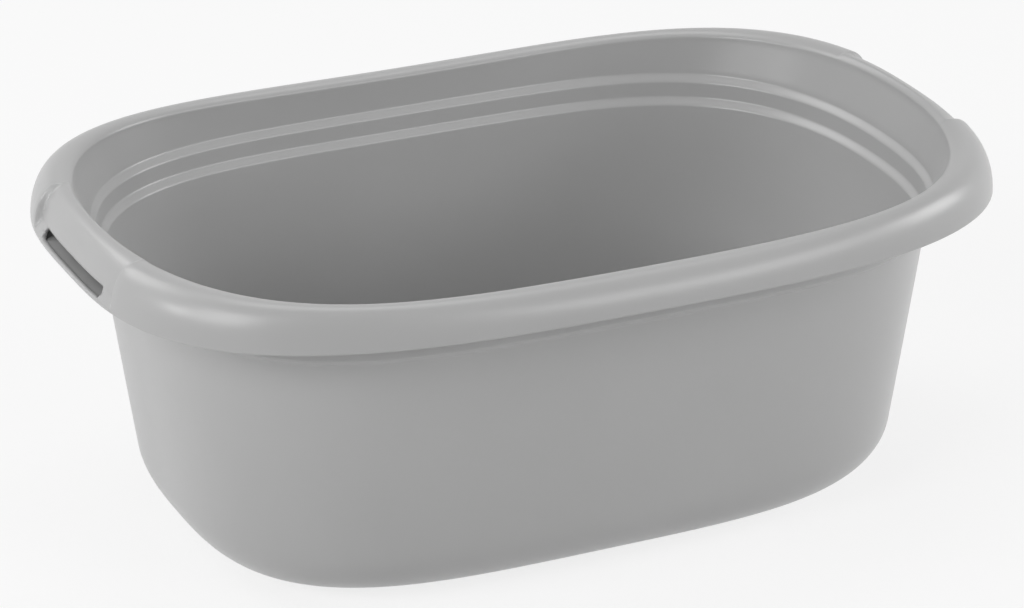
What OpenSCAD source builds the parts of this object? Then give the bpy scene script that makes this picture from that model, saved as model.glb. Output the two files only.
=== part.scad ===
// Washing up bowl: a deep oval plastic bowl with a rolled rim that stands higher
// at the two ends, two small ledges round the inside and a slotted grip at each end.
// It is one moulding. Its regions are kept as solids that meet face to face, and the
// walls, the bottom and the rim are divided into quarters at the two middle planes.
// X runs along the bowl, Y across it and Z up. The origin is the centre of the base.

/* [Rim] */
// Length over the rim
rim_length = 400; // [380:5:430]
// Width over the rim
rim_width = 271.4; // [262:0.2:290]
// Width of the rolled rim, from its inner edge to the outside of its skirt
roll_width = 15; // [14.4:0.2:16]
// How far the crest lies outside the rim's inner edge
crest_offset = 4.6; // [4.2:0.2:6]
// Height of the crest above the rim's inner edge
lip_rise = 3; // [2.4:0.1:3.4]
// Depth of the skirt below the crest at the middle of a long side
skirt_drop = 14.8; // [14:0.1:15]
// Extra height of the crest at the two ends
end_rise = 6.6; // [4:0.2:9]

/* [Body] */
// Height of the crest at the middle of a long side
side_height = 147; // [146.8:0.1:148]
// Thickness of the walls and the rim
wall = 2.2; // [2:0.1:2.4]
// Length of the body just under the lower ledge
neck_length = 348.4; // [340:0.2:352]
// Width of the body just under the lower ledge
neck_width = 230.6; // [222:0.2:232]
// Length of the body where the rounded bottom begins
base_length = 321.4; // [300:0.2:330]
// Width of the body where the rounded bottom begins
base_width = 207.8; // [196:0.2:214]
// Radius of the rounded bottom edge
bottom_radius = 25.6; // [18:0.2:30]
// Height of the foot ring
foot_height = 1.5; // [1:0.1:2.5]
// Width of the foot ring
foot_width = 3; // [2:0.5:5]

/* [Ledges] */
// Height of the lower edge of the lower ledge
lower_ledge_z = 117.9; // [114:0.1:118.4]
// Height of the lower edge of the upper ledge
upper_ledge_z = 127.7; // [126:0.1:128]
// How far each ledge leads the wall outwards
ledge_step = 2.8; // [1:0.1:3]
// Height over which each ledge does so
ledge_height = 4.2; // [3:0.1:4.4]

/* [Grips] */
// Half length of the rim's end section that holds the grip
grip_half = 47; // [46:0.5:50]
// Length of the slot through the skirt
slot_length = 70; // [60:1:78]
// Height of the slot
slot_height = 4.6; // [4.4:0.1:4.8]
// Height of the slot's middle line above the base
slot_z = 136.4; // [136.2:0.1:137]
// How far the roll above the slot is set back
grip_setback = 2.6; // [1:0.1:2.8]
// Length over which the set back fades out at each end of the grip
grip_fade = 2.5; // [2:0.1:4]
// Half length of the web that closes the rim's hollow under the grip
web_half = 60; // [50:1:64]
// Thickness of that web
web_thickness = 1.4; // [1:0.1:1.4]

/* [Hidden] */

// Powers of the plan curve, along the length and across it, at three levels.
edge_powers = [4.46, 2.15];
skirt_powers = [3.0, 3.15];
base_powers = [3.66, 2.92];

// Steps of the meshes.
end_steps = 4;
side_steps = 17;
side_spread = 1.5;
wall_steps = 4;
bottom_steps = 4;
heel_turn = 45;
lip_steps = 4;
crest_steps = 4;
crest_turn = 45;
skirt_steps = 3;
grip_steps = 6;
fade_steps = 4;
slot_steps = 3;
web_steps = 12;

edge_half = [rim_length / 2 - roll_width, rim_width / 2 - roll_width];
edge_z = side_height - lip_rise;
base_half = [base_length / 2, base_width / 2];
neck_half = [neck_length / 2, neck_width / 2];
bottom_z = foot_height + bottom_radius;
wall_lean = (neck_half - base_half) / (lower_ledge_z - bottom_z);
floor_half = base_half - [bottom_radius, bottom_radius] - wall_lean * bottom_radius;
step_out = [ledge_step, ledge_step];
thickness = [wall, wall];
band_half = neck_half + step_out;
band_top_half = band_half + wall_lean * (upper_ledge_z - lower_ledge_z - ledge_height);
upper_half = band_top_half + step_out;
upper_z = upper_ledge_z + ledge_height;
skirt_z = side_height - skirt_drop;
roll_reach = roll_width - crest_offset;

function mix(a, b, share) = a + (b - a) * share;
function clamp(value) = max(0, min(1, value));
function ease(value) = pow(clamp(value), 2) * (3 - 2 * clamp(value));

// How far up the wall a level lies, from 0 at the rounded bottom to 1 at the rim.
function wall_share(z) = clamp((z - bottom_z) / (edge_z - bottom_z));

// Powers of the plan curve for a level and a place across the roll.
function powers(up, across) =
    mix(base_powers, edge_powers, up) + (skirt_powers - edge_powers) * across * up;

// Half length of the plan curve at a distance y from the middle line.
function half_x(y, half, power) =
    half[0] * pow(1 - pow(min(1, abs(y) / half[1]), power[1]), 1 / power[0]);

// A point of the plan curve's quarter, from share 0 at the grip's end to share 1 at x = 0.
function side_point(share, half, power) =
    let (first = asin(pow(grip_half / half[1], power[1] / 2)),
         turn = (90 - first) * pow(1 - share, side_spread))
    [half[0] * pow(sin(turn), 2 / power[0]), half[1] * pow(cos(turn), 2 / power[1])];

// Stations of a quarter: [1, y] across the end, then [0, share] along the side.
side_stations = [for (k = [0:side_steps]) [0, k / side_steps]];
quarter_stations = concat(
    [for (k = [0:end_steps - 1]) [1, grip_half * k / end_steps]],
    side_stations
);
function plan_point(station, half, power) =
    station[0] == 1 ? [half_x(station[1], half, power), station[1]]
                    : side_point(station[1], half, power);

// The height that the raised ends add at a point of the plan.
function saddle(x) = end_rise * pow(abs(x) / (rim_length / 2), 2);

// The whole plan curve as a closed outline, from its quarter.
function outline(half, power) =
    let (quarter = [for (s = quarter_stations) plan_point(s, half, power)],
         last = len(quarter) - 1)
    concat([for (k = [0:last]) quarter[k]],
           [for (k = [last - 1:-1:0]) [-quarter[k][0], quarter[k][1]]],
           [for (k = [1:last]) -quarter[k]],
           [for (k = [last - 1:-1:1]) [quarter[k][0], -quarter[k][1]]]);

// Closes a skin over a row of sections that each hold the same number of points.
module skin(sections) {
    rows = len(sections);
    count = len(sections[0]);
    faces = [
        for (r = [0:rows - 2], k = [0:count - 1])
            let (a = r * count + k,
                 b = r * count + (k + 1) % count,
                 c = (r + 1) * count + (k + 1) % count,
                 d = (r + 1) * count + k)
            each [[a, d, c], [a, c, b]]
    ];
    caps = [
        [for (k = [0:count - 1]) k],
        [for (k = [count - 1:-1:0]) (rows - 1) * count + k]
    ];
    polyhedron(points = [for (section = sections) each section], faces = concat(faces, caps),
               convexity = 10);
}

// Carries a quarter's sections to another corner: sx and sy are the signs of x and y.
module corner(sections, sx, sy) {
    last = len(sections) - 1;
    skin([
        for (k = [0:last])
            let (section = sections[sx * sy > 0 ? k : last - k])
            [for (p = section) [sx * p[0], sy * p[1], p[2]]]
    ]);
}

// A level of the wall is [outer half size, height, share of the saddle]. The section
// runs down the outer face and up the inner one.
function wall_point(place, level, outside) =
    let (half = level[0] - (1 - outside) * thickness,
         power = powers(wall_share(level[1]), outside * wall / roll_width),
         p = plan_point(place, half, power))
    [p[0], p[1], level[1] + level[2] * saddle(p[0])];

function wall_sections(levels) = [
    for (place = quarter_stations)
        concat([for (k = [len(levels) - 1:-1:0]) wall_point(place, levels[k], 1)],
               [for (k = [0:len(levels) - 1]) wall_point(place, levels[k], 0)])
];

module foot_ring() {
    color([0.60, 0.60, 0.60])
    linear_extrude(foot_height)
    difference() {
        polygon(outline(floor_half, base_powers));
        polygon(outline(floor_half - [foot_width, foot_width], base_powers));
    }
}

module floor_panel() {
    color([0.63, 0.63, 0.63])
    translate([0, 0, foot_height])
    linear_extrude(wall)
    polygon(outline(floor_half, base_powers));
}

// The rounded bottom: a quarter turn whose outer end runs on into the leaning wall.
function bottom_point(place, turn, depth) =
    let (radius = bottom_radius - depth,
         inset = bottom_radius - radius * sin(turn),
         half = base_half - [inset, inset] - wall_lean * bottom_radius * cos(turn),
         p = plan_point(place, half, base_powers))
    [p[0], p[1], bottom_z - radius * cos(turn)];

function bottom_sections(first, last) = [
    for (place = quarter_stations)
        concat([for (k = [bottom_steps:-1:0])
                    bottom_point(place, mix(first, last, k / bottom_steps), 0)],
               [for (k = [0:bottom_steps])
                    bottom_point(place, mix(first, last, k / bottom_steps), wall)])
];

module bottom(sx, sy) {
    color([0.64, 0.64, 0.64])
    corner(bottom_sections(0, heel_turn), sx, sy);
}

module heel(sx, sy) {
    color([0.65, 0.65, 0.65])
    corner(bottom_sections(heel_turn, 90), sx, sy);
}

module lower_wall(sx, sy) {
    levels = [
        for (k = [0:wall_steps])
            [mix(base_half, neck_half, k / wall_steps),
             mix(bottom_z, lower_ledge_z, k / wall_steps),
             0]
    ];
    color([0.66, 0.66, 0.66])
    corner(wall_sections(levels), sx, sy);
}

// Two ledges, where the wall leads outwards more steeply, and the straight band between.
module ledges(sx, sy) {
    levels = [
        [neck_half, lower_ledge_z, 0],
        [band_half, lower_ledge_z + ledge_height, 0],
        [band_top_half, upper_ledge_z, 0],
        [upper_half, upper_z, 0]
    ];
    color([0.70, 0.70, 0.70])
    corner(wall_sections(levels), sx, sy);
}

// The collar runs from the upper ledge to the rim's inner edge and takes up the saddle.
module collar(sx, sy) {
    levels = [
        [upper_half, upper_z, 0],
        [mix(upper_half, edge_half + thickness, 0.5), mix(upper_z, edge_z, 0.5), 0.5],
        [edge_half + thickness, edge_z, 1]
    ];
    color([0.66, 0.66, 0.66])
    corner(wall_sections(levels), sx, sy);
}

// A point of the rim's cross-section is [distance out, depth below the crest, share of
// the saddle]. The lip rises to the crest and the roll falls from there to the skirt.
function lip(turn, depth) = [
    mix(depth, crest_offset, 1 - cos(turn)),
    mix(lip_rise, depth, sin(turn)),
    1
];
function roll(turn, depth) = [
    crest_offset + (roll_reach - depth) * sin(turn),
    mix(depth, skirt_drop, 1 - cos(turn)),
    cos(turn)
];

lip_section = [for (k = [0:lip_steps]) lip(90 * k / lip_steps, 0)];
lip_underside = [[crest_offset, wall, 1], [wall, lip_rise, 1]];
rim_section = concat(
    lip_section,
    [for (k = [1:crest_steps]) roll(crest_turn * k / crest_steps, 0)],
    [for (k = [crest_steps:-1:1]) roll(crest_turn * k / crest_steps, wall)],
    lip_underside
);
skirt_section = concat(
    [for (k = [0:skirt_steps]) roll(mix(crest_turn, 90, k / skirt_steps), 0)],
    [for (k = [skirt_steps:-1:0]) roll(mix(crest_turn, 90, k / skirt_steps), wall)]
);

function rim_point(place, part) =
    let (half = edge_half + [part[0], part[0]],
         p = plan_point(place, half, powers(1, clamp(part[0] / roll_width))))
    [p[0], p[1], side_height - part[1] + part[2] * saddle(p[0])];

module rim(sx, sy) {
    color([0.72, 0.72, 0.72])
    corner([for (place = side_stations) [for (part = rim_section) rim_point(place, part)]],
           sx, sy);
}

module skirt(sx, sy) {
    color([0.69, 0.69, 0.69])
    corner([for (place = side_stations) [for (part = skirt_section) rim_point(place, part)]],
           sx, sy);
}

// Stations across a grip: close together at the slot's ends and where the set back fades.
slot_end = slot_length / 2;
slot_radius = slot_height / 2;
grip_quarter = concat(
    [for (k = [0:grip_steps - 1]) (slot_end - slot_radius) * k / grip_steps],
    [for (k = [0:slot_steps]) slot_end - slot_radius * (1 - sin(90 * k / slot_steps))],
    [for (k = [0:fade_steps]) grip_half - grip_fade * (1 - k / fade_steps)]
);
grip_last = len(grip_quarter) - 1;
grip_stations = concat([for (k = [grip_last:-1:1]) -grip_quarter[k]], grip_quarter);

// Half of the slot's height at a distance y from its middle: its ends are round.
function slot_gap(y) =
    let (past = clamp((abs(y) - slot_end + slot_radius) / slot_radius))
    slot_radius * sqrt(1 - past * past);

// The turn of the roll where its face crosses a height, at the end of the bowl.
end_drop = skirt_drop + end_rise * pow((rim_length / 2 - 2) / (rim_length / 2), 2);
function turn_at(z, depth) = acos(clamp((z - skirt_z) / (end_drop - depth)));

// The set back is full above the slot and fades out down to the slot's lower edge.
function set_back(part, y, z) =
    let (fade = ease((grip_half - abs(y)) / grip_fade),
         down = clamp((z - slot_z + slot_radius) / slot_height))
    [part[0] - grip_setback * ease(part[0] / (1.3 * crest_offset)) * fade * down,
     part[1],
     part[2]];
function grip_part(turn, depth, y) =
    set_back(roll(turn, depth), y, skirt_z + (end_drop - depth) * cos(turn));

// Over a grip the rim is set back from the lip on.
function grip_rim_section(y) =
    concat([for (part = lip_section) set_back(part, y, side_height)],
           [for (k = [1:crest_steps]) grip_part(crest_turn * k / crest_steps, 0, y)],
           [for (k = [crest_steps:-1:1]) grip_part(crest_turn * k / crest_steps, wall, y)],
           [for (part = lip_underside) set_back(part, y, side_height)]);

// The face of the roll runs from there down to the slot.
overlap_free = 0.3;
function face_turns(y, depth) =
    let (above = turn_at(slot_z + slot_radius + overlap_free, depth))
    concat([for (k = [0:skirt_steps - 1]) mix(crest_turn, above, k / (skirt_steps - 1))],
           [turn_at(slot_z + slot_gap(y), depth)]);
function grip_face_section(y) =
    let (outer = face_turns(y, 0), inner = face_turns(y, wall), last = len(inner) - 1)
    concat([for (turn = outer) grip_part(turn, 0, y)],
           [for (k = [last:-1:0]) grip_part(inner[k], wall, y)]);

// The strip below the slot, down to the skirt's edge.
function strip_turns(y, depth) = [
    turn_at(slot_z - slot_gap(y), depth),
    turn_at(slot_z - slot_radius - overlap_free, depth),
    90
];
function grip_strip_section(y) =
    let (outer = strip_turns(y, 0), inner = strip_turns(y, wall))
    concat([for (turn = outer) grip_part(turn, 0, y)],
           [for (k = [2:-1:0]) grip_part(inner[k], wall, y)]);

function grip_point(y, part) =
    let (half = edge_half + [part[0], part[0]],
         x = half_x(y, half, powers(1, clamp(part[0] / roll_width))))
    [x, y, side_height - part[1] + part[2] * saddle(x)];

module grip_rim(side) {
    color([0.74, 0.74, 0.74])
    rotate([0, 0, side > 0 ? 0 : 180])
    skin([for (y = grip_stations) [for (part = grip_rim_section(y)) grip_point(y, part)]]);
}

module grip_face(side) {
    color([0.73, 0.73, 0.73])
    rotate([0, 0, side > 0 ? 0 : 180])
    skin([for (y = grip_stations) [for (part = grip_face_section(y)) grip_point(y, part)]]);
}

module grip_strip(side) {
    color([0.72, 0.72, 0.72])
    rotate([0, 0, side > 0 ? 0 : 180])
    skin([for (y = grip_stations) [for (part = grip_strip_section(y)) grip_point(y, part)]]);
}

// The web under a grip runs from the wall to the skirt, level with the skirt's edge.
function collar_x(y, z) =
    let (end_z = edge_z + saddle(edge_half[0] + wall),
         share = clamp((z - upper_z) / (end_z - upper_z)))
    half_x(y, mix(upper_half, edge_half + thickness, share),
           powers(wall_share(mix(upper_z, edge_z, share)), wall / roll_width));

function web_section(y) =
    let (out = roll_width - wall,
         skirt_x = half_x(y, edge_half + [out, out], powers(1, out / roll_width)))
    [[collar_x(y, skirt_z), y, skirt_z],
     [collar_x(y, skirt_z + web_thickness), y, skirt_z + web_thickness],
     [skirt_x, y, skirt_z + web_thickness],
     [skirt_x, y, skirt_z]];

module grip_web(side) {
    color([0.60, 0.60, 0.60])
    rotate([0, 0, side > 0 ? 0 : 180])
    skin([for (k = [0:web_steps]) web_section(mix(-web_half, web_half, k / web_steps))]);
}

foot_ring();
floor_panel();
bottom(-1, -1);  // front_left_bottom
bottom(1, -1);  // front_right_bottom
bottom(-1, 1);  // back_left_bottom
bottom(1, 1);  // back_right_bottom
heel(-1, -1);  // front_left_heel
heel(1, -1);  // front_right_heel
heel(-1, 1);  // back_left_heel
heel(1, 1);  // back_right_heel
lower_wall(-1, -1);  // front_left_wall
lower_wall(1, -1);  // front_right_wall
lower_wall(-1, 1);  // back_left_wall
lower_wall(1, 1);  // back_right_wall
ledges(-1, -1);  // front_left_ledges
ledges(1, -1);  // front_right_ledges
ledges(-1, 1);  // back_left_ledges
ledges(1, 1);  // back_right_ledges
collar(-1, -1);  // front_left_collar
collar(1, -1);  // front_right_collar
collar(-1, 1);  // back_left_collar
collar(1, 1);  // back_right_collar
rim(-1, -1);  // front_left_rim
rim(1, -1);  // front_right_rim
rim(-1, 1);  // back_left_rim
rim(1, 1);  // back_right_rim
skirt(-1, -1);  // front_left_skirt
skirt(1, -1);  // front_right_skirt
skirt(-1, 1);  // back_left_skirt
skirt(1, 1);  // back_right_skirt
grip_rim(-1);  // left_grip_rim
grip_rim(1);  // right_grip_rim
grip_face(-1);  // left_grip_face
grip_face(1);  // right_grip_face
grip_strip(-1);  // left_grip_strip
grip_strip(1);  // right_grip_strip
grip_web(-1);  // left_grip_web
grip_web(1);  // right_grip_web
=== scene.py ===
import math

import bpy
import numpy as np
from mathutils import Matrix


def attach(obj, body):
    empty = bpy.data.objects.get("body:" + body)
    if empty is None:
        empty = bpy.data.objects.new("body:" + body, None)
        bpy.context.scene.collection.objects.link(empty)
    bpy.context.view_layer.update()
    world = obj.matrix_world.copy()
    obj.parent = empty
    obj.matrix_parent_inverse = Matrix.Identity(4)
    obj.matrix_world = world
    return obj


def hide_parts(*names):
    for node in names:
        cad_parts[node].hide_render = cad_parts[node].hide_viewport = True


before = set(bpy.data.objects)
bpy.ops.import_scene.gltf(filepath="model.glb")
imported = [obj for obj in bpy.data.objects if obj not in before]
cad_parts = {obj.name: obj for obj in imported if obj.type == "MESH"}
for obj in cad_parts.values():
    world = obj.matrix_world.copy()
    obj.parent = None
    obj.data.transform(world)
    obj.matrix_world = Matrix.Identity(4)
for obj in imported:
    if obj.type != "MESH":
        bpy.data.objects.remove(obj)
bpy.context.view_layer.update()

scene = bpy.context.scene


# The camera stands at the photograph's place: a long lens, a little to the left of the
# bowl's front and looking down over the near edge. The picture is taken as 1024 by 608.
PICTURE_WIDTH_PX = 1024
FOCAL_PX = 4144.9
SENSOR_MM = 36.0
CAMERA_AZIMUTH = math.radians(-24.648)
CAMERA_ELEVATION = math.radians(23.513)
CAMERA_ROLL = math.radians(-0.154)
CAMERA_DISTANCE = 1.7735
CAMERA_TARGET = np.array([-0.0014, 0.0, 0.0821])


def camera_axes(azimuth, elevation, roll):
    """Right, up and back directions of a camera that looks at its target.

    Back = (sin az cos el, -cos az cos el, sin el); right is level, up completes the set,
    and both then turn about back by the roll.
    """
    back = np.array([math.sin(azimuth) * math.cos(elevation),
                     -math.cos(azimuth) * math.cos(elevation),
                     math.sin(elevation)])
    right = np.cross(-back, [0.0, 0.0, 1.0])
    right /= np.linalg.norm(right)
    up = np.cross(right, -back)
    turned_right = math.cos(roll) * right + math.sin(roll) * up
    turned_up = -math.sin(roll) * right + math.cos(roll) * up
    return turned_right, turned_up, back


def turned_matrix(right, up, back, place):
    """World matrix whose columns are right, up, back and the place."""
    matrix = np.eye(4)
    for column, axis in enumerate((right, up, back, place)):
        matrix[:3, column] = axis
    return Matrix(matrix.tolist())


camera_data = bpy.data.cameras.new("camera")
camera_data.sensor_width = SENSOR_MM
camera_data.lens = FOCAL_PX * SENSOR_MM / PICTURE_WIDTH_PX
camera = bpy.data.objects.new("camera", camera_data)
scene.collection.objects.link(camera)
right, up, back = camera_axes(CAMERA_AZIMUTH, CAMERA_ELEVATION, CAMERA_ROLL)
camera_place = CAMERA_TARGET + back * CAMERA_DISTANCE
camera.matrix_world = turned_matrix(right, up, back, camera_place)
scene.camera = camera


# The bowl is one satin grey moulding: foot ring, floor, leaning wall with two ledges, and a
# rolled rim with a slot at each end. One surface is carried round the plan, from under the
# floor up the outside, over the rim and down the inside to the floor again. Sizes are in mm.
MM = 0.001
WALL = 2.2
ROLL_WIDTH = 15.0
CREST_OFFSET = 4.6
LIP_RISE = 3.0
SKIRT_DROP = 14.8
END_RISE = 6.6
SIDE_HEIGHT = 147.0
FOOT_HEIGHT = 1.5
FOOT_WIDTH = 3.0
FOOT_SOFT = 0.4
BOTTOM_RADIUS = 25.6
LEDGE_STEP = 2.8
LEDGE_HEIGHT = 4.2
LOWER_LEDGE_Z = 117.9
UPPER_LEDGE_Z = 127.7
GRIP_HALF = 47.0
GRIP_SETBACK = 2.6
GRIP_FADE = 2.5
SLOT_LENGTH = 70.0
SLOT_HEIGHT = 4.6
SLOT_Z = 136.4
SLOT_SOFT = 0.35
SLOT_TIP = 0.8
SLOT_FACE_INSET = 2.0
EDGE_ROUND = 0.8
RIM_HALF = np.array([200.0, 135.7])
NECK_HALF = np.array([174.2, 115.3])
BASE_HALF = np.array([160.7, 103.9])

# Powers n and m of the plan curve |x/a|^n + |y/b|^m = 1 at the rim's inner edge, at the
# skirt and at the base.
EDGE_POWERS = np.array([4.46, 2.15])
SKIRT_POWERS = np.array([3.0, 3.15])
BASE_POWERS = np.array([3.66, 2.92])

# A grip's set-back is full at SETBACK_REACH crest offsets from the inner edge, and a side's
# stations crowd at its middle by a power. The rest place single rows, as shares of a span.
SETBACK_REACH = 1.3
SIDE_CROWDING = 1.5
SKIRT_EDGE_START = 0.15
UNDER_LIP_SHARES = np.array([0.3, 0.75])
FLOOR_SHARES = np.array([0.12, 0.35, 0.6, 0.8, 0.92])

# Numbers of stations round the plan and of rows up the section.
SLOT_STATIONS, TIP_STATIONS, GRIP_STATIONS = 10, 9, 5
FADE_STATIONS, SIDE_STATIONS = 9, 126
WALL_ROWS, LEDGE_ROWS, BAND_ROWS, TOP_ROWS = 20, 13, 4, 8
BOTTOM_ROWS, SKIRT_EDGE_ROWS, LIP_ROWS = 18, 4, 12
UPPER_ROLL_ROWS, LOWER_ROLL_ROWS = 24, 7

QUARTER_TURN = np.pi / 2
edge_half = RIM_HALF - ROLL_WIDTH
edge_z = SIDE_HEIGHT - LIP_RISE
bottom_z = FOOT_HEIGHT + BOTTOM_RADIUS
skirt_z = SIDE_HEIGHT - SKIRT_DROP
wall_lean = (NECK_HALF - BASE_HALF) / (LOWER_LEDGE_Z - bottom_z)
floor_half = BASE_HALF - BOTTOM_RADIUS - wall_lean * BOTTOM_RADIUS
lower_ledge_top = LOWER_LEDGE_Z + LEDGE_HEIGHT
upper_ledge_top = UPPER_LEDGE_Z + LEDGE_HEIGHT
band_half = NECK_HALF + LEDGE_STEP
band_top_half = band_half + wall_lean * (UPPER_LEDGE_Z - lower_ledge_top)
upper_half = band_top_half + LEDGE_STEP
roll_reach = ROLL_WIDTH - CREST_OFFSET
end_drop = SKIRT_DROP + END_RISE * (1.0 - SLOT_FACE_INSET / RIM_HALF[0]) ** 2
slot_end = SLOT_LENGTH / 2
slot_radius = SLOT_HEIGHT / 2


def ease(value):
    """Smooth step: 3 v^2 - 2 v^3 of the value held between 0 and 1."""
    held = np.clip(value, 0.0, 1.0)
    return held * held * (3.0 - 2.0 * held)


def saddle(x):
    """Extra height of the raised ends: end rise times (x / half length) squared."""
    return END_RISE * (np.abs(x) / RIM_HALF[0]) ** 2


class Columns:
    """The stations round the plan: right end, back side, left end, front side.

    An end station has a fixed y. A side station has a share from 0 to 1 of the side,
    turned into the angle of the plan curve x = a sin^(2/n), y = b cos^(2/m).
    """

    def __init__(self, end_y, side_share):
        ends, sides = len(end_y), len(side_share)
        self.count = 2 * (ends + sides)
        self.is_end = np.concatenate([np.ones(ends, bool), np.zeros(sides, bool)] * 2)
        self.y = np.concatenate([end_y, np.full(sides, GRIP_HALF),
                                 -end_y, np.full(sides, -GRIP_HALF)])
        spread = 1.0 - 2.0 * side_share
        spread = np.sign(spread) * np.abs(spread) ** SIDE_CROWDING
        self.spread = np.concatenate([np.zeros(ends), spread, np.zeros(ends), spread])
        self.sign = np.concatenate([np.full(ends + sides, 1.0), np.full(ends + sides, -1.0)])
        self.end_y = np.where(self.is_end, np.abs(self.y), GRIP_HALF)

    def place(self, half_x, half_y, power_x, power_y):
        """x and y on the curve |x/a|^n + |y/b|^m = 1 at each station."""
        end_x = half_x * (1.0 - (np.abs(self.y) / half_y) ** power_y) ** (1.0 / power_x)
        first = np.arcsin((GRIP_HALF / half_y) ** (power_y / 2.0))
        turn = (QUARTER_TURN - first) * self.spread
        side_x = half_x * np.sign(turn) * np.abs(np.sin(turn)) ** (2.0 / power_x)
        side_y = half_y * np.cos(turn) ** (2.0 / power_y)
        x = np.where(self.is_end, end_x, side_x) * self.sign
        y = np.where(self.is_end, self.y, side_y * self.sign)
        return x, y


tip_turn = np.linspace(0.0, QUARTER_TURN, TIP_STATIONS)
slot_tip_y = slot_end - slot_radius * (1.0 - np.sin(tip_turn))
half_end = np.concatenate([np.linspace(0.0, slot_tip_y[0], SLOT_STATIONS, endpoint=False),
                           slot_tip_y,
                           np.linspace(slot_end, GRIP_HALF - GRIP_FADE, GRIP_STATIONS)[1:],
                           GRIP_HALF - GRIP_FADE * np.linspace(1.0, 0.0, FADE_STATIONS)[1:]])
end_stations = np.concatenate([-half_end[:0:-1], half_end[:-1]])
side_stations = np.linspace(0.0, 1.0, SIDE_STATIONS, endpoint=False)
columns = Columns(end_stations, side_stations)


def powers(up, across):
    """Powers of the plan curve: base to edge by height, then edge to skirt by width."""
    up = np.asarray(up, float)[..., None]
    across = np.asarray(across, float)[..., None]
    rim_change = (SKIRT_POWERS - EDGE_POWERS) * across * up
    return BASE_POWERS + (EDGE_POWERS - BASE_POWERS) * up + rim_change


def wall_share(z):
    """How far up the wall a level lies, from 0 at the rounded bottom to 1 at the rim."""
    return np.clip((z - bottom_z) / (edge_z - bottom_z), 0.0, 1.0)


def row_points(x, y, z):
    """Rows of points from x, y and z, where z may be one value for a whole row."""
    return np.stack([x, y, np.broadcast_to(z, x.shape)], axis=-1)


def level_rows(half, z, lift, outside):
    """Rows of the wall: a plan curve of each half size, at z plus lift times the saddle.

    outside is 1 for the outer face, and 0 for the inner face, one wall thickness in.
    """
    power = powers(wall_share(z), np.full(len(z), outside * WALL / ROLL_WIDTH))
    size = half - (1.0 - outside) * WALL
    x, y = columns.place(size[:, :1], size[:, 1:], power[:, :1], power[:, 1:])
    return row_points(x, y, z[:, None] + lift[:, None] * saddle(x))


def rim_rows(out, height):
    """Rows of the rolled rim: plan curves at a distance out from the inner edge.

    height gives z from x: both out and the height may change from station to station.
    """
    out = out * np.ones((1, columns.count))
    power = powers(np.ones_like(out), np.clip(out / ROLL_WIDTH, 0.0, 1.0))
    x, y = columns.place(edge_half[0] + out, edge_half[1] + out, power[..., 0], power[..., 1])
    return row_points(x, y, height(x))


def wall_profile():
    """Outer half size, height and saddle share up the wall, as one list of stations.

    A ledge steps out by step (1 - cos(pi s)) / 2 as s goes from 0 to 1 over its height.
    """
    share = np.linspace(0.0, 1.0, WALL_ROWS)[:, None]
    lower = BASE_HALF + (NECK_HALF - BASE_HALF) * share
    lower_z = bottom_z + (LOWER_LEDGE_Z - bottom_z) * share[:, 0]
    rise = np.linspace(0.0, 1.0, LEDGE_ROWS)[1:]
    ledge_out = LEDGE_STEP * (1.0 - np.cos(np.pi * rise))[:, None] / 2.0
    band = np.linspace(0.0, 1.0, BAND_ROWS)[1:, None]
    top = np.linspace(0.0, 1.0, TOP_ROWS)[1:, None]
    half = np.concatenate([lower,
                           NECK_HALF + ledge_out,
                           band_half + (band_top_half - band_half) * band,
                           band_top_half + ledge_out,
                           upper_half + (edge_half + WALL - upper_half) * top])
    z = np.concatenate([lower_z,
                        LOWER_LEDGE_Z + LEDGE_HEIGHT * rise,
                        lower_ledge_top + (UPPER_LEDGE_Z - lower_ledge_top) * band[:, 0],
                        UPPER_LEDGE_Z + LEDGE_HEIGHT * rise,
                        upper_ledge_top + (edge_z - upper_ledge_top) * top[:, 0]])
    lift = np.concatenate([np.zeros(len(z) - len(top)), top[:, 0]])
    return half, z, lift


def base_rows(half, z):
    """Rows at the base's powers, one for each half size and height."""
    x, y = columns.place(half[:, :1], half[:, 1:], BASE_POWERS[0], BASE_POWERS[1])
    return row_points(x, y, z[:, None])


def bottom_rows(depth):
    """The rounded bottom, a quarter turn from the floor up to the leaning wall.

    Radius = bottom radius - depth; the leaning wall's line is carried on down through it.
    """
    turn = np.linspace(0.0, QUARTER_TURN, BOTTOM_ROWS)[:-1]
    radius = BOTTOM_RADIUS - depth
    inset = BOTTOM_RADIUS - radius * np.sin(turn)
    lean = BOTTOM_RADIUS * np.cos(turn)
    half = BASE_HALF - inset[:, None] - wall_lean * lean[:, None]
    return base_rows(half, bottom_z - radius * np.cos(turn))


def flat_rows(shares, z):
    """Rows of a flat oval at one height, as the floor's outline times each share."""
    x, y = columns.place(floor_half[0], floor_half[1], BASE_POWERS[0], BASE_POWERS[1])
    return row_points(x * shares[:, None], y * shares[:, None], z)


def foot_rows():
    """The foot ring's section, from its inside to its outside, with softened edges."""
    inset = np.array([FOOT_WIDTH + FOOT_SOFT, FOOT_WIDTH, FOOT_WIDTH, FOOT_WIDTH - FOOT_SOFT,
                      FOOT_SOFT, 0.0, 0.0])
    z = np.array([FOOT_HEIGHT, FOOT_HEIGHT - FOOT_SOFT, FOOT_SOFT, 0.0,
                  0.0, FOOT_SOFT, FOOT_HEIGHT - FOOT_SOFT])
    return base_rows(floor_half - inset[:, None], z)


# The slot's half height at each station, round at its ends. Past the slot the two rows run
# on close together, and the faces between them stay.
past = np.clip((columns.end_y - slot_end + slot_radius) / slot_radius, 0.0, 1.0)
slot_gap = np.maximum(slot_radius * np.sqrt(1.0 - past ** 2), SLOT_TIP / 2)
slot_soft = SLOT_SOFT * (columns.end_y <= slot_end)
grip_fade = ease((GRIP_HALF - columns.end_y) / GRIP_FADE)


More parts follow.
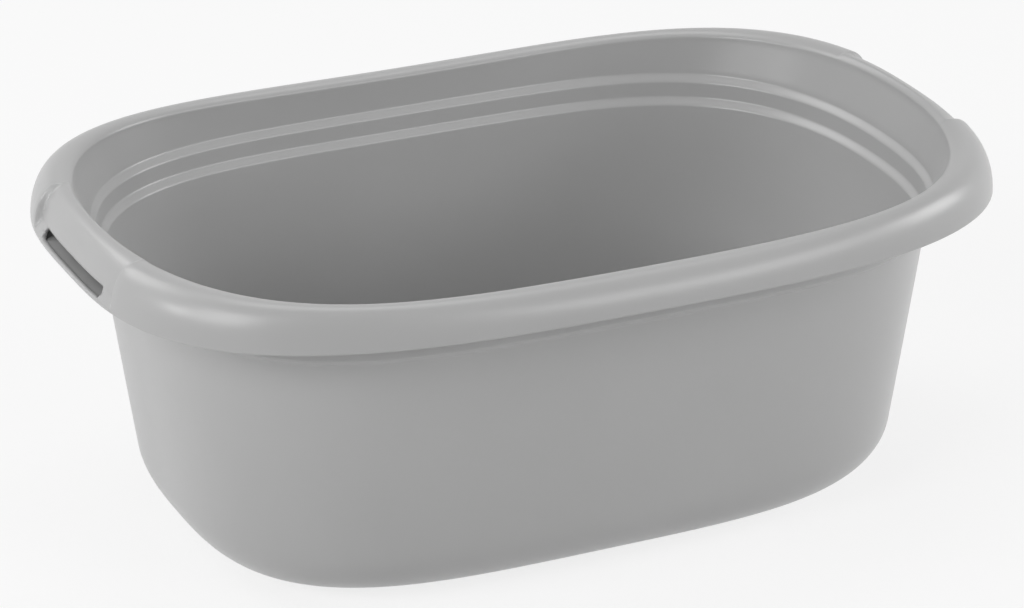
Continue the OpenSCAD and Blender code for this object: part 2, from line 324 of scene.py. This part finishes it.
def set_back(out, z):
    """The roll's distance out, moved in over a grip: full above the slot, none below it.

    The move grows from the inner edge to the crest and is then the same down to the slot.
    """
    down = np.clip((z - SLOT_Z + slot_radius) / SLOT_HEIGHT, 0.0, 1.0)
    return out - GRIP_SETBACK * ease(out / (SETBACK_REACH * CREST_OFFSET)) * grip_fade * down


def turn_at(z, depth):
    """Turn of the roll where its face crosses a height at the bowl's end."""
    return np.arccos(np.clip((z - skirt_z) / (end_drop - depth), 0.0, 1.0))


def roll_rows(turn, depth):
    """Rows of the roll: out = crest + reach sin, z = skirt + (drop - depth) cos."""
    out = set_back(CREST_OFFSET + (roll_reach - depth) * np.sin(turn),
                   skirt_z + (end_drop - depth) * np.cos(turn))
    return rim_rows(out, lambda x: skirt_z + np.cos(turn) * (SKIRT_DROP - depth + saddle(x)))


def roll_part(depth, inward):
    """The roll from the crest to the skirt at a depth under its face.

    It is split at the slot, whose two edges follow the upper rows and are softened
    towards the middle of the wall: inward is 1 on the outer face and -1 on the inner.
    """
    soft = depth + inward * slot_soft
    above = turn_at(SLOT_Z + slot_gap + SLOT_SOFT, depth)
    below = turn_at(SLOT_Z - slot_gap - SLOT_SOFT, depth)
    last = np.arccos(EDGE_ROUND / (SKIRT_DROP - depth))
    upper = np.linspace(0.0, 1.0, UPPER_ROLL_ROWS)[:, None] * above
    lower = below + np.linspace(0.0, 1.0, LOWER_ROLL_ROWS)[:, None] * (last - below)
    edges = [roll_rows(turn_at(SLOT_Z + side * slot_gap, soft)[None, :], soft)
             for side in (1.0, -1.0)]
    return np.concatenate([roll_rows(upper, depth), *edges, roll_rows(lower, depth)])


def skirt_edge_rows():
    """The skirt's lower edge, a quarter turn up each face: inside first, then outside."""
    turn = np.linspace(SKIRT_EDGE_START, 1.0, SKIRT_EDGE_ROWS)[:, None] * QUARTER_TURN
    rise = EDGE_ROUND * (1.0 - np.sin(turn))
    inner_out = ROLL_WIDTH - WALL + EDGE_ROUND * (1.0 - np.cos(turn))
    outer_out = ROLL_WIDTH - EDGE_ROUND * (1.0 - np.cos(turn))
    inner = rim_rows(inner_out, lambda x: skirt_z + rise)
    outer = rim_rows(outer_out[::-1], lambda x: skirt_z + rise[::-1])
    return np.concatenate([inner, outer])


def lip_rows():
    """The lip, from the crest in and down to the inner edge: a quarter of an oval."""
    turn = np.linspace(1.0, 0.0, LIP_ROWS)[1:, None] * QUARTER_TURN
    out = set_back(CREST_OFFSET * (1.0 - np.cos(turn)), SIDE_HEIGHT)
    height = edge_z + LIP_RISE * np.sin(turn)
    return rim_rows(out, lambda x: height + saddle(x))


def under_lip_rows():
    """The sloping underside of the lip, from the wall out towards the crest."""
    share = UNDER_LIP_SHARES[:, None]
    out = set_back(WALL + share * (CREST_OFFSET - WALL), SIDE_HEIGHT)
    rise = (LIP_RISE - WALL) * share
    return rim_rows(out, lambda x: edge_z + rise + saddle(x))


def stack_rows():
    """All rows in order, and the rows after which the slot opens, under and over."""
    half, z, lift = wall_profile()
    outside = np.concatenate([flat_rows(FLOOR_SHARES, FOOT_HEIGHT), foot_rows(),
                              bottom_rows(0.0), level_rows(half, z, lift, 1.0),
                              under_lip_rows()])
    under_roll = roll_part(WALL, -1.0)
    skirt_edge = skirt_edge_rows()
    over_roll = roll_part(0.0, 1.0)[::-1]
    down_half, down_z, down_lift = (values[::-1][1:] for values in (half, z, lift))
    inside = np.concatenate([lip_rows(), level_rows(down_half, down_z, down_lift, 0.0),
                             bottom_rows(WALL)[::-1],
                             flat_rows(FLOOR_SHARES[::-1], FOOT_HEIGHT + WALL)])
    rows = np.concatenate([outside, under_roll, skirt_edge, over_roll, inside])
    under = len(outside) + UPPER_ROLL_ROWS
    over = len(rows) - len(inside) - UPPER_ROLL_ROWS - 2
    return rows, under, over


def bowl_mesh():
    """Quads between neighbouring rows, a fan at each pole, and walls round the slots."""
    rows, under, over = stack_rows()
    count = columns.count
    total = len(rows)
    row = np.arange(total - 1)[:, None]
    column = np.arange(count)[None, :]
    after = (column + 1) % count
    quads = np.stack([row * count + column, row * count + after,
                      (row + 1) * count + after, (row + 1) * count + column], axis=-1)
    in_slot = columns.is_end & (columns.end_y <= slot_end)
    open_column = in_slot & np.roll(in_slot, -1)
    keep = np.ones((total - 1, count), bool)
    keep[under, open_column] = False
    keep[over, open_column] = False

    slot_columns = np.nonzero(open_column)[0]
    following = (slot_columns + 1) % count

    def slot_wall(inner_row, outer_row):
        """Quads across the wall's thickness along one long edge of the slots."""
        inner, outer = inner_row * count, outer_row * count
        return np.stack([inner + slot_columns, inner + following,
                         outer + following, outer + slot_columns], axis=-1)

    def slot_tips(at):
        """Quads across the wall's thickness at one end of each slot."""
        return np.stack([under * count + at, (under + 1) * count + at,
                         over * count + at, (over + 1) * count + at], axis=-1)

    first_columns = np.nonzero(open_column & ~np.roll(open_column, 1))[0]
    last_columns = np.nonzero(open_column & ~np.roll(open_column, -1))[0]
    faces = np.concatenate([quads[keep],
                            slot_wall(under, over + 1),
                            slot_wall(under + 1, over)[:, ::-1],
                            slot_tips(first_columns)[:, ::-1],
                            slot_tips((last_columns + 1) % count)])

    points = rows.reshape(-1, 3)
    low_pole, high_pole = len(points), len(points) + 1
    poles = np.array([[0.0, 0.0, FOOT_HEIGHT], [0.0, 0.0, FOOT_HEIGHT + WALL]])
    points = np.concatenate([points, poles]) * MM
    first = np.arange(count)
    last = (total - 1) * count + first
    fans = np.concatenate([
        np.stack([np.roll(first, -1), first, np.full(count, low_pole)], axis=-1),
        np.stack([last, np.roll(last, -1), np.full(count, high_pole)], axis=-1)])
    return points, faces, fans


def add_mesh(name, points, quads, triangles):
    """A smooth-shaded object at the origin from points, quads and triangles."""
    mesh = bpy.data.meshes.new(name)
    corners = np.concatenate([quads.ravel(), triangles.ravel()]).astype(np.int32)
    sizes = np.concatenate([np.full(len(quads), 4), np.full(len(triangles), 3)])
    begin = np.concatenate([[0], np.cumsum(sizes)[:-1]]).astype(np.int32)
    mesh.vertices.add(len(points))
    mesh.vertices.foreach_set("co", points.astype(np.float32).ravel())
    mesh.loops.add(len(corners))
    mesh.loops.foreach_set("vertex_index", corners)
    mesh.polygons.add(len(sizes))
    mesh.polygons.foreach_set("loop_start", begin)
    mesh.polygons.foreach_set("use_smooth", np.ones(len(sizes), bool))
    mesh.update(calc_edges=True)
    mesh.validate()
    piece = bpy.data.objects.new(name, mesh)
    scene.collection.objects.link(piece)
    return piece


class Value:
    """A node socket that takes part in sums, so shader maths reads as arithmetic."""

    def __init__(self, tree, socket):
        self.tree, self.socket = tree, socket

    def combined(self, operation, other):
        """One maths node that joins this socket with another, or with a number."""
        return self.tree.node("ShaderNodeMath", {"operation": operation},
                              {0: self, 1: other}, 0)

    def __add__(self, other):
        return self.combined("ADD", other)

    def __mul__(self, other):
        return self.combined("MULTIPLY", other)

    __radd__, __rmul__ = __add__, __mul__


class NodeTree:
    """The nodes of a material or of the world, which all come from one method."""

    def __init__(self, owner):
        owner.use_nodes = True
        self.nodes = owner.node_tree.nodes
        self.links = owner.node_tree.links
        self.nodes.clear()

    def node(self, kind, settings=None, inputs=None, output=None):
        """Add a node, set its settings, then feed its sockets with values or links."""
        made = self.nodes.new(kind)
        for name, value in (settings or {}).items():
            setattr(made, name, value)
        for key, value in (inputs or {}).items():
            if isinstance(value, Value):
                self.links.new(value.socket, made.inputs[key])
            else:
                made.inputs[key].default_value = value
        return made if output is None else Value(self, made.outputs[output])


# The plastic's patterns: noise scales per metre, the swing of its tone and its roughness,
# and the height in metres of its fine texture.
GREY = (0.42, 0.42, 0.42)
TONE_SWING = 0.06
FLOW_SCALE, FLOW_DETAIL, FLOW_MIX = 9.0, 3.0, 0.96
WEAR_SCALE, WEAR_DETAIL, WEAR_ROUGHNESS = 60.0, 6.0, 0.65
GLOSS_ROUGHNESS, WEAR_SWING = 0.26, 0.10
GRAIN_SCALE, GRAIN_DETAIL = 1400.0, 2.0
GRAIN_STRENGTH, GRAIN_HEIGHT = 0.06, 0.0001
PLASTIC_IOR = 1.49

# Sockets of a node that mixes two colours.
MIX_FACTOR, MIX_FIRST, MIX_SECOND, MIX_RESULT = 0, 6, 7, 2


def plastic(name, tone):
    """Satin moulded plastic: faint flow shade, uneven gloss and a fine surface texture."""
    material = bpy.data.materials.new(name)
    tree = NodeTree(material)
    place = tree.node("ShaderNodeTexCoord", output="Object")

    def noise(scale, detail, roughness=0.5):
        return tree.node("ShaderNodeTexNoise",
                         inputs={"Vector": place, "Scale": scale, "Detail": detail,
                                 "Roughness": roughness}, output="Fac")

    flow = noise(FLOW_SCALE, FLOW_DETAIL)
    grain = noise(GRAIN_SCALE, GRAIN_DETAIL)
    wear = noise(WEAR_SCALE, WEAR_DETAIL, WEAR_ROUGHNESS)
    dark = [channel * (1.0 - TONE_SWING) for channel in tone] + [1.0]
    light = [min(1.0, channel * (1.0 + TONE_SWING)) for channel in tone] + [1.0]
    colour = tree.node("ShaderNodeMix", {"data_type": "RGBA"},
                       {MIX_FACTOR: FLOW_MIX * flow, MIX_FIRST: dark, MIX_SECOND: light},
                       MIX_RESULT)
    bump = tree.node("ShaderNodeBump", inputs={"Strength": GRAIN_STRENGTH,
                                               "Distance": GRAIN_HEIGHT,
                                               "Height": grain}, output="Normal")
    shader = tree.node("ShaderNodeBsdfPrincipled",
                       inputs={"Base Color": colour,
                               "Roughness": GLOSS_ROUGHNESS + WEAR_SWING * wear,
                               "Normal": bump, "IOR": PLASTIC_IOR}, output="BSDF")
    tree.node("ShaderNodeOutputMaterial", inputs={"Surface": shader})
    return material


bowl_plastic = plastic("bowl_plastic", GREY)
bowl = add_mesh("bowl_moulding", *bowl_mesh())
bowl.data.materials.append(bowl_plastic)
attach(bowl, "root")
REGIONS = ("bottom", "heel", "wall", "ledges", "collar", "rim", "skirt")
CORNERS = ("front_left", "front_right", "back_left", "back_right")
quarters = [f"{corner}_{region}" for region in REGIONS for corner in CORNERS]
grips = [f"{end}_grip_{region}" for region in ("rim", "face", "strip")
         for end in ("left", "right")]
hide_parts("foot_ring", "floor_panel", *quarters, *grips)


# Under each grip a flat web of the same moulding joins the skirt's edge to the wall and
# closes the hollow behind the slot. The webs keep their own solids and take the finish.
for web_name in ("left_grip_web", "right_grip_web"):
    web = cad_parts[web_name]
    web.data.materials.clear()
    web.data.materials.append(bowl_plastic)


# The floor is plain and white. Seen by the camera or in a reflection, most of its light is
# its own, so that it stays pale right out to the backdrop and keeps a soft shadow.
WHITE = (1.0, 1.0, 1.0, 1.0)
FLOOR_HALF = 3.0
FLOOR_TONE = (0.9, 0.9, 0.9, 1.0)
GLOW_SHARE = 0.8


def seen_directly(tree):
    """1 on a ray from the camera, a reflection or clear matter, and 0 on any other ray."""
    path = tree.node("ShaderNodeLightPath")
    camera_ray, glossy_ray, clear_ray = (Value(tree, path.outputs[f"Is {kind} Ray"])
                                         for kind in ("Camera", "Glossy", "Transmission"))
    return camera_ray + glossy_ray + clear_ray


def white_floor():
    """A near-white matt floor, mixed with plain white light where it is seen directly."""
    material = bpy.data.materials.new("floor_white")
    tree = NodeTree(material)
    matt = tree.node("ShaderNodeBsdfDiffuse", inputs={"Color": FLOOR_TONE}, output="BSDF")
    glow = tree.node("ShaderNodeEmission", inputs={"Color": WHITE, "Strength": 1.0},
                     output="Emission")
    shader = tree.node("ShaderNodeMixShader",
                       inputs={0: GLOW_SHARE * seen_directly(tree), 1: matt, 2: glow},
                       output="Shader")
    tree.node("ShaderNodeOutputMaterial", inputs={"Surface": shader})
    return material


floor_points = np.array([[-1, -1, 0], [1, -1, 0], [1, 1, 0], [-1, 1, 0]]) * FLOOR_HALF
floor = add_mesh("floor", floor_points, np.array([[0, 1, 2, 3]]), np.zeros((0, 3), int))
floor.data.materials.append(white_floor())


# Soft studio light: large panels from the left, the front, the right, above and behind, a
# small one on the left for a sheen, and a faint surround. Seen directly, the world is white.
LAMP_AIM = (0.0, 0.0, 0.08)
SURROUND = 0.06


def panel(name, place, size, power):
    """A rectangular lamp at a place, facing the aim: sizes in metres, power in watts."""
    data = bpy.data.lights.new(name, "AREA")
    data.shape = "RECTANGLE"
    data.size, data.size_y = size
    data.energy = power
    lamp = bpy.data.objects.new(name, data)
    scene.collection.objects.link(lamp)
    back = np.array(place) - np.array(LAMP_AIM)
    back /= np.linalg.norm(back)
    side = np.cross([0.0, 0.0, 1.0], back)
    side /= np.linalg.norm(side)
    lamp.matrix_world = turned_matrix(side, np.cross(back, side), back, place)


panel("left_panel", place=(-2.0, -0.9, 1.3), size=(1.2, 1.2), power=25.0)
panel("front_panel", place=(1.3, -2.2, 1.2), size=(1.2, 1.0), power=15.5)
panel("right_panel", place=(2.2, -0.8, 0.9), size=(1.2, 1.0), power=25.0)
panel("top_panel", place=(0.2, 0.5, 2.4), size=(1.6, 1.2), power=14.5)
panel("back_panel", place=(-1.2, 1.5, 1.7), size=(1.2, 1.2), power=16.0)
panel("side_panel", place=(-2.1, 0.1, 0.9), size=(0.4, 0.4), power=7.0)

world = bpy.data.worlds.new("studio")
scene.world = world
sky = NodeTree(world)
surround = sky.node("ShaderNodeBackground", inputs={"Color": WHITE, "Strength": SURROUND},
                    output="Background")
backdrop = sky.node("ShaderNodeBackground", inputs={"Color": WHITE, "Strength": 1.0},
                    output="Background")
light = sky.node("ShaderNodeMixShader",
                 inputs={0: seen_directly(sky), 1: surround, 2: backdrop}, output="Shader")
sky.node("ShaderNodeOutputWorld", inputs={"Surface": light})

scene.view_settings.view_transform = "Standard"
